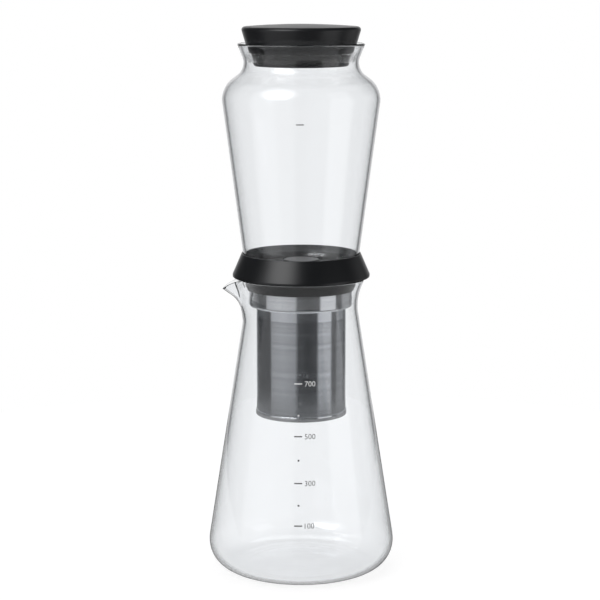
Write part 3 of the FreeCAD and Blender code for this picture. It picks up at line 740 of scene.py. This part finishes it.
# %% Basket sizes
SHEET = 0.8
SHOULDER = low_of("strainer_collar")
SHOULDER_ROUND = 2.3
TUBE, TUBE_THICK = 33.9, 0.5
WELD = TUBE + 0.05
BASKET_END = low_of("strainer_base_ring")
TUBE_END = BASKET_END + 1.0
HEM, HEM_THICK, HEM_HIGH, HEM_WIDE = TUBE + 0.65, 0.6, 3.6, 3.0
print("basket from", round(BASKET_END, 1), "to", round(LEDGE + BRIM_THICK, 1), "mm")

# %% Basket
collar_corners = [
    (WELD, SHOULDER, 0.2),
    (COLLAR, SHOULDER, SHOULDER_ROUND),
    (COLLAR, LEDGE, 0.4),
    (COLLAR + COLLAR_BRIM, LEDGE, 0.2),
    (COLLAR + COLLAR_BRIM, LEDGE + BRIM_THICK, 0.45),
    (COLLAR - SHEET, LEDGE + BRIM_THICK, 0.45),
    (COLLAR - SHEET, SHOULDER + SHEET, SHOULDER_ROUND - SHEET),
    (WELD, SHOULDER + SHEET, 0.2),
]
finished("collar", spun(collar_corners, True), COLLAR_STEEL, "strainer", "polished_steel",
         "strainer_collar")
tube_corners = [
    (TUBE - TUBE_THICK, TUBE_END),
    (TUBE, TUBE_END),
    (TUBE, SHOULDER + SHEET),
    (TUBE - TUBE_THICK, SHOULDER + SHEET),
]
finished("tube", spun(tube_corners, True), MESH_STEEL, "strainer", "mesh_steel", "strainer_mesh")
base_corners = [
    (TUBE - HEM_WIDE, BASKET_END, 0.2),
    (HEM, BASKET_END, 0.55),
    (HEM, BASKET_END + HEM_HIGH, 0.25),
    (WELD, BASKET_END + HEM_HIGH, 0.2),
    (WELD, BASKET_END + HEM_THICK),
    (TUBE - HEM_WIDE, BASKET_END + HEM_THICK, 0.2),
]
finished("base_ring", spun(base_corners, True), COLLAR_STEEL, "strainer", "polished_steel",
         "strainer_base_ring")

# %% [markdown]
# ## The lid
# A domed satin cap over a tapering insert. The insert is narrower than the glass neck, so a pale
# soft ring in a groove of the insert fills the neck. Three notches in the ring let air in as the
# water drips out.

# %% Lid sizes
CROWN, SKIRT_END = top_of("lid_cap"), low_of("lid_cap")
CAP_EDGE, CAP_FOOT = 45.0, 40.7
CAP_EDGE_DROP, CAP_EDGE_ROUND = 2.0, 2.5
CAP_INSIDE_EDGE, CAP_INSIDE_FOOT = 42.3, 38.4
CAP_THICK, CAP_INSIDE_DROP = 2.4, 4.2
DOME_FLAT, DOME_ROUND = 22.5, 420
INSERT_END, INSERT_TOP = low_of("lid_plug"), top_of("lid_plug")
INSERT_RADIUS, INSERT_BRIM = 34.85, 40.3
INSERT_INSIDE_FOOT, INSERT_INSIDE, INSERT_NECK = 33.2, 36.1, 38.3
INSERT_THICK = 2.2
SEAL_LOW, SEAL_HIGH = BOWL_TOP - 14.0, BOWL_TOP - 7.0
GROOVE = 1.0
insert_side = face_through((INSERT_RADIUS, INSERT_END), (INSERT_BRIM, SKIRT_END))
print("lid from", round(INSERT_END, 1), "to", round(CROWN, 1), "mm")

# %% Lid
cap_corners = [
    (0, CROWN),
    (DOME_FLAT, CROWN, DOME_ROUND),
    (CAP_EDGE, CROWN - CAP_EDGE_DROP, CAP_EDGE_ROUND),
    (CAP_FOOT, SKIRT_END, 0.3),
    (CAP_INSIDE_FOOT, SKIRT_END, 0.3),
    (CAP_INSIDE_EDGE, CROWN - CAP_INSIDE_DROP, 1.0),
    (0, CROWN - CAP_THICK),
]
finished("lid", spun(cap_corners, False), GREY, "lid", "grey_lid", "lid_cap")
insert_corners = [
    (0, INSERT_END),
    (INSERT_RADIUS, INSERT_END, 1.6),
    (radius_on(insert_side, SEAL_LOW), SEAL_LOW, 0.2),
    (radius_on(insert_side, SEAL_LOW) - GROOVE, SEAL_LOW),
    (radius_on(insert_side, SEAL_HIGH) - GROOVE, SEAL_HIGH),
    (radius_on(insert_side, SEAL_HIGH), SEAL_HIGH, 0.2),
    (INSERT_BRIM, SKIRT_END, 0.3),
    (INSERT_NECK, SKIRT_END),
    (INSERT_NECK, INSERT_TOP),
    (INSERT_INSIDE, INSERT_TOP),
    (INSERT_INSIDE, SKIRT_END - INSERT_THICK),
    (INSERT_INSIDE_FOOT, INSERT_END + INSERT_THICK, 1.0),
    (0, INSERT_END + INSERT_THICK),
]
finished("insert", spun(insert_corners, False), GREY, "lid", "grey_lid", "lid_plug")

# %% Soft ring
SEAL_PLAY = 0.1
NOTCHES, NOTCH_HALF, NOTCH_DEEP = 3, 3.4, 1.6
NOTCH_STARTS = 0.6


def soft_ring():
    flare = face_through(BOWL_NECK, BOWL_RIM, WALL + PLAY)
    low, high = SEAL_LOW + SEAL_PLAY, SEAL_HIGH - SEAL_PLAY
    corners = [
        (radius_on(insert_side, low) - GROOVE + SEAL_PLAY, low, 0.3),
        (radius_on(flare, low - BOWL_FLOOR), low, 0.8),
        (radius_on(flare, high - BOWL_FLOOR), high, 0.8),
        (radius_on(insert_side, high) - GROOVE + SEAL_PLAY, high, 0.3),
    ]
    return spun(corners, True, steps=180, longest=2.0)


def notch(bm):
    """Press the air notches into the ring's outside."""
    apart = 360 / NOTCHES
    for vert in bm.verts:
        radius = math.hypot(vert.co.x, vert.co.y) / MM
        angle = math.degrees(math.atan2(vert.co.y, vert.co.x)) % apart
        off = min(angle, apart - angle)
        outside = radius > radius_on(insert_side, vert.co.z / MM) + NOTCH_STARTS
        if outside and off < NOTCH_HALF:
            shrink = 1 - NOTCH_DEEP / radius * math.cos(math.radians(90 * off / NOTCH_HALF)) ** 0.5
            vert.co.x *= shrink
            vert.co.y *= shrink
    return bm


finished("seal", notch(soft_ring()), PALE, "lid", "clear_silicone", "lid_seal_ring")

# %% [markdown]
# ## Small inner pieces
# The drip unit and the spreader keep the shapes of the frame and only get their finish.

# %% Inner pieces
for node, material, slot in [
    ("spreader", COLLAR_STEEL, "polished_steel"),
    ("strainer_base_mesh", MESH_STEEL, "mesh_steel"),
    ("drip_bush", MILKY, "silicone"),
    ("drip_nozzle", BLACK, "black_plastic"),
    ("drip_filter", MESH_STEEL, "mesh_steel"),
    ("drip_cap", BLACK, "black_plastic"),
    ("drip_washer", MILKY, "silicone"),
    ("drip_nut", BLACK, "black_plastic"),
]:
    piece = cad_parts[node]
    piece.data.materials.clear()
    piece.data.materials.append(material)
print("finished the inner pieces")

# %% [markdown]
# ## The stage
# The tower stands on a small pale floor. The room is white where the eye looks straight or through
# glass. What shines sees a studio instead: soft grey walls with a few brighter and darker fields,
# which draw the long bands on the steel.

# %% Who looks
# A look that runs on inside the wall of the glass has met two surfaces when it leaves, and one that
# is caught in the jug's foot has met more than five.
WALL_SURFACES = 2
FOOT_SURFACES = 5.5


def looked_at(shading):
    """Masks for what is seen straight or through glass, for what shines, and for the glass wall."""
    path = shading.node("ShaderNodeLightPath").socket.node.outputs
    reflected = Level(shading, path["Glossy Depth"])
    turned = reflected + Level(shading, path["Diffuse Depth"])
    surfaces = Level(shading, path["Transmission Depth"])
    deep = (surfaces + turned).maths("GREATER_THAN", FOOT_SURFACES)
    straight = turned.maths("LESS_THAN", 0.5) * Level(shading, path["Is Transmission Ray"])
    seen = straight.maths("MAXIMUM", deep).maths("MAXIMUM", path["Is Camera Ray"])
    inside = surfaces.maths("COMPARE", WALL_SURFACES, 0.5)
    return seen, reflected.maths("GREATER_THAN", 0.5), inside


print("masks ready")

# %% Floor
FLOOR_RADIUS = 0.6
FLOOR_GREY, FLOOR_GLOW = 0.2, 0.86
# How much of the bright floor shows in the wall of the glass.
WALL_SHARE = 0.6
floor_mesh = bpy.data.meshes.new("floor")
bm = bmesh.new()
bmesh.ops.create_circle(bm, cap_ends=True, segments=96, radius=FLOOR_RADIUS)
bm.to_mesh(floor_mesh)
bm.free()
floor = bpy.data.objects.new("floor", floor_mesh)
floor.location.z = -0.2 * MM
scene.collection.objects.link(floor)
floor_material = bpy.data.materials.new("floor")
floor_material.use_nodes = True
floor_material.node_tree.nodes.clear()
ground = Shading(floor_material.node_tree)
shade = ground.node("ShaderNodeBsdfDiffuse", None, {"Color": (FLOOR_GREY,) * 3})
lit = ground.add(shade, ground.node("ShaderNodeEmission", None, {"Strength": FLOOR_GLOW}))
floor_seen, _, from_wall = looked_at(ground)
bright = floor_seen.maths("MAXIMUM", from_wall * WALL_SHARE)
ground_output = ground.tree.nodes.new("ShaderNodeOutputMaterial")
ground.put(ground_output.inputs["Surface"], ground.mix(bright, shade, lit))
floor_mesh.materials.append(floor_material)
print("floor ready")

# %% [markdown]
# ## The studio
# The walls are bands of light and dark round the tower, each (angle from the front in degrees,
# level), negative to the left. High up they darken, more so on the right, and one soft window
# shines from the upper left.

# %% Studio
STUDIO = [(-180, 0.9), (-165, 0.75), (-150, 0.2), (-140, 0.06), (-86, 0.05), (-80, 0.50), (-50, 0.62),
          (-14, 0.48), (-8, 0.10), (16, 0.06), (40, 0.09), (46, 0.72), (80, 0.78), (85, 0.08),
          (98, 0.10), (106, 0.36), (130, 0.32), (140, 0.06), (150, 0.2), (165, 0.75), (180, 0.9)]
COOL = 1.01
CEILING = (0.02, 0.02, 0.02)
CEILING_FROM, CEILING_TO = 0.15, 0.4
LEFT_FROM, RIGHT_TO = -0.3, 0.2
LEFT_DARK, RIGHT_DARK = 0.35, 0.95
SOFT_WINDOW = (-0.50, -0.60, 0.62)
WINDOW_EDGE, WINDOW_LEVEL = 0.86, 3.2
SOFT_ROOM = (0.62, 0.62, 0.63)


def background(sky, colour, strength=1.0):
    return sky.node("ShaderNodeBackground", None, {"Color": colour, "Strength": strength})


def studio_bands(sky, across, along):
    angle = across.maths("ARCTAN2", along * -1)
    bands = sky.node("ShaderNodeValToRGB", None, {0: angle * (1 / (2 * math.pi)) + 0.5})
    ramp = bands.socket.node.color_ramp
    ramp.elements.remove(ramp.elements[1])
    ramp.elements[0].position = 0
    ramp.elements[0].color = (STUDIO[0][1],) * 3 + (1,)
    for turn, level in STUDIO[1:]:
        ramp.elements.new((turn + 180) / 360).color = (level, level, level * COOL, 1)
    return bands


def studio(sky):
    """What shines sees this."""
    direction = sky.node("ShaderNodeTexCoord", output="Generated")
    across, along, up = sky.split(direction)
    high = sky.remap(up, CEILING_FROM, CEILING_TO)
    dark = high * sky.remap(across, LEFT_FROM, RIGHT_TO, LEFT_DARK, RIGHT_DARK)
    walls = sky.blend(dark, studio_bands(sky, across, along), CEILING)
    near = sky.node("ShaderNodeVectorMath", {"operation": "DOT_PRODUCT"}, {0: direction, 1: SOFT_WINDOW}, 1)
    glow = sky.remap(near, WINDOW_EDGE, 1.0, 0.0, WINDOW_LEVEL, "SMOOTHSTEP")
    return sky.add(background(sky, walls), background(sky, (1, 1, 1), glow))


world = bpy.data.worlds.new("studio")
scene.world = world
world.use_nodes = True
world.node_tree.nodes.clear()
sky = Shading(world.node_tree)
sky_seen, mirrored, _ = looked_at(sky)
around = sky.mix(mirrored, background(sky, SOFT_ROOM), studio(sky))
sky_output = sky.tree.nodes.new("ShaderNodeOutputWorld")
sky.put(sky_output.inputs["Surface"], sky.mix(sky_seen, around, background(sky, (1, 1, 1))))
print("studio with", len(STUDIO), "stops")

# %% [markdown]
# ## Lamps
# Three large flat lamps give the plain soft light. They light the object but don't show in it.

# %% Lamps
MIDDLE = Vector((0, 0, 0.22))


def soft_box(name, azimuth, elevation, distance, wide, high, power):
    """A flat lamp that faces the middle of the tower."""
    lamp = bpy.data.lights.new(name, "AREA")
    lamp.shape = "RECTANGLE"
    lamp.size = wide
    lamp.size_y = high
    lamp.energy = power
    holder = bpy.data.objects.new(name, lamp)
    turn, rise = math.radians(azimuth), math.radians(elevation)
    away = Vector((math.sin(turn) * math.cos(rise), -math.cos(turn) * math.cos(rise), math.sin(rise)))
    holder.location = MIDDLE + away * distance
    holder.rotation_euler = (-away).to_track_quat("-Z", "Y").to_euler()
    holder.visible_glossy = False
    scene.collection.objects.link(holder)


soft_box("key", azimuth=-38, elevation=38, distance=1.5, wide=0.9, high=0.8, power=8)
soft_box("fill", azimuth=62, elevation=30, distance=1.7, wide=0.9, high=0.9, power=2)
soft_box("top", azimuth=180, elevation=62, distance=1.5, wide=1.2, high=0.8, power=4)
scene.view_settings.view_transform = "Standard"
print("lamps ready")
